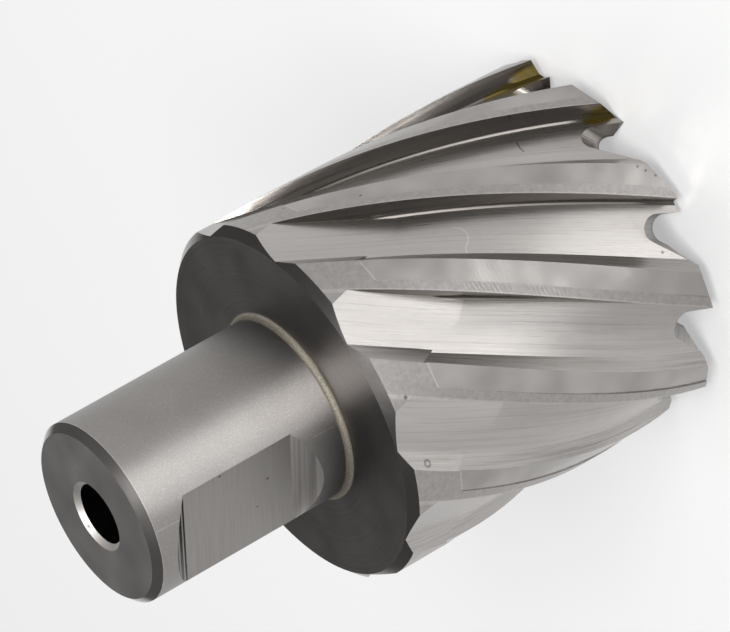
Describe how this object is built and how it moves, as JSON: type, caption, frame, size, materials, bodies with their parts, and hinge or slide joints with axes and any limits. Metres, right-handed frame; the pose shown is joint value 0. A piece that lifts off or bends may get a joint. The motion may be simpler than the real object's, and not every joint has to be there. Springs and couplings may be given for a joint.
{
  "type": "annular cutter",
  "caption": "Hollow high speed steel hole cutter with helical flutes, staggered end teeth, a pilot bore and a round shank with set-screw flats.",
  "frame": {"origin": "on the axis, in the plane of the leading tooth tips that it stands on", "axes": "+Z along the axis from the teeth to the shank's end; one shank flat faces -Y and the other faces -X"},
  "size_m": [0.038, 0.038, 0.0617],
  "materials": {
    "tool_steel": "ground"
  },
  "bodies": {
    "root": {"annular_cutter": "tool_steel"}
  },
  "joints": []
}
